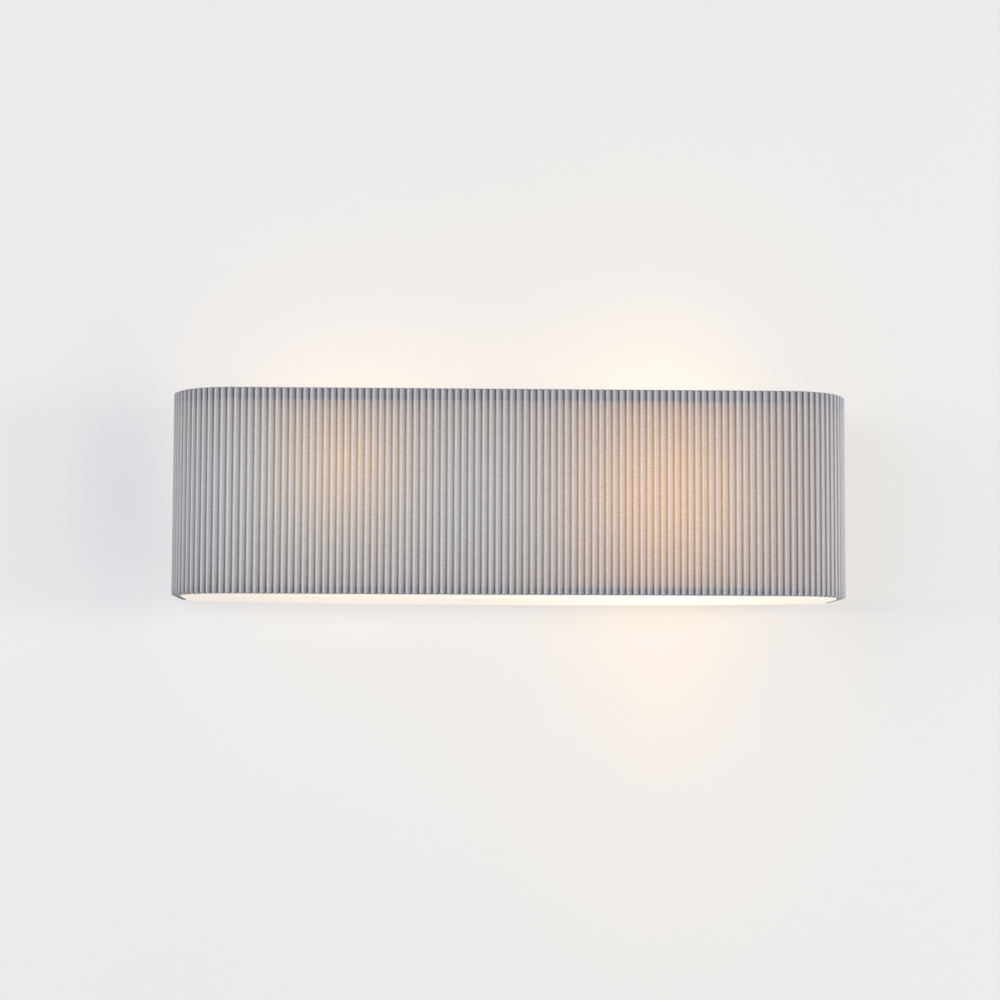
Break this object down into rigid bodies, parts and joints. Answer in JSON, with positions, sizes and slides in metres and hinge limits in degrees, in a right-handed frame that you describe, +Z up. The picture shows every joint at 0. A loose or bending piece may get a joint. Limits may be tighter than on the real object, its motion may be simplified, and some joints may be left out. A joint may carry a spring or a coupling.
{
  "type": "fabric shade wall light",
  "caption": "Low, wide half shade of ribbed cloth on wire rings, open above, with an opal tray below. It hangs by thumbscrews on a wall pan with lampholders that face each other.",
  "frame": {"origin": "middle of the wall bracket's back face, on the wall plane", "axes": "+X to the right along the wall, +Y into the wall, +Z up; the light stands out towards -Y"},
  "size_m": [0.4, 0.1, 0.1223],
  "materials": {
    "fabric": "grey woven cloth pressed into round ribs",
    "liner": "white translucent sheet, matt",
    "white_wire": "white coated steel wire, satin",
    "white_steel": "white powder coat, satin",
    "opal_tray": "opal translucent sheet, satin",
    "zinc": "zinc plated, satin",
    "rubber": "black, matt",
    "nylon": "natural nylon, matt",
    "brass": "plain, satin",
    "screw_steel": "nickel plated, bright",
    "holder_plastic": "white thermoplastic, semi gloss",
    "opal_dome": "opal, lit, satin",
    "lamp_base": "white plastic, satin",
    "lamp_cap": "nickel plated, satin",
    "lead_plastic": "white insulation, matt",
    "earth_plastic": "green and yellow insulation",
    "knurled_brass": "nickel plated, knurled, satin"
  },
  "bodies": {
    "wall_unit": {"back_pan": "white_steel", "wall_bracket": "zinc", "bracket_studs": "zinc", "cable_grommet": "rubber", "terminal_block": "nylon", "terminal_inserts": "brass", "terminal_screws": "screw_steel", "terminal_block_screw": "screw_steel", "earth_screw": "brass", "earth_lead": "earth_plastic", "pan_nuts": "screw_steel", "lead_grommets": "rubber", "clinch_nuts": "zinc", "holder_bracket_left": "white_steel", "holder_bracket_right": "white_steel", "bracket_screws": "screw_steel", "lampholder_left": "holder_plastic", "lampholder_right": "holder_plastic", "holder_contacts_left": "brass", "holder_contacts_right": "brass", "holder_nipples": "zinc", "holder_locknuts": "zinc", "lead_left": "lead_plastic", "lead_right": "lead_plastic"},
    "shade": {"shade_liner": "liner", "shade_fabric": "fabric", "top_ring": "white_wire", "bottom_ring": "white_wire", "top_hem": "fabric", "bottom_hem": "fabric", "upright_left": "white_wire", "upright_right": "white_wire", "shade_carrier": "white_steel"},
    "tray": {"diffuser": "opal_tray"},
    "lamp_left": {"bulb_base_left": "lamp_base", "bulb_dome_left": "opal_dome", "bulb_cap_left": "lamp_cap"},
    "lamp_right": {"bulb_base_right": "lamp_base", "bulb_dome_right": "opal_dome", "bulb_cap_right": "lamp_cap"},
    "screw_left": {"thumbscrew_left": "knurled_brass"},
    "screw_right": {"thumbscrew_right": "knurled_brass"}
  },
  "joints": [
    {"name": "shade_pull", "type": "slide", "parent": "wall_unit", "child": "shade", "axis": [0, -1, 0], "range_m": [0, 0.12]},
    {"name": "tray_lift", "type": "slide", "parent": "shade", "child": "tray", "axis": [0, 0, 1], "range_m": [0, 0.006]},
    {"name": "lamp_left_unscrew", "type": "slide", "parent": "wall_unit", "child": "lamp_left", "axis": [1, 0, 0], "range_m": [0, 0.026]},
    {"name": "lamp_right_unscrew", "type": "slide", "parent": "wall_unit", "child": "lamp_right", "axis": [-1, 0, 0], "range_m": [0, 0.026]},
    {"name": "screw_left_turn", "type": "hinge", "parent": "wall_unit", "child": "screw_left", "pos_m": [-0.11, -0.011, 0.048], "axis": [0, 0, 1], "continuous": true},
    {"name": "screw_right_turn", "type": "hinge", "parent": "wall_unit", "child": "screw_right", "pos_m": [0.11, -0.011, 0.048], "axis": [0, 0, 1], "continuous": true}
  ]
}
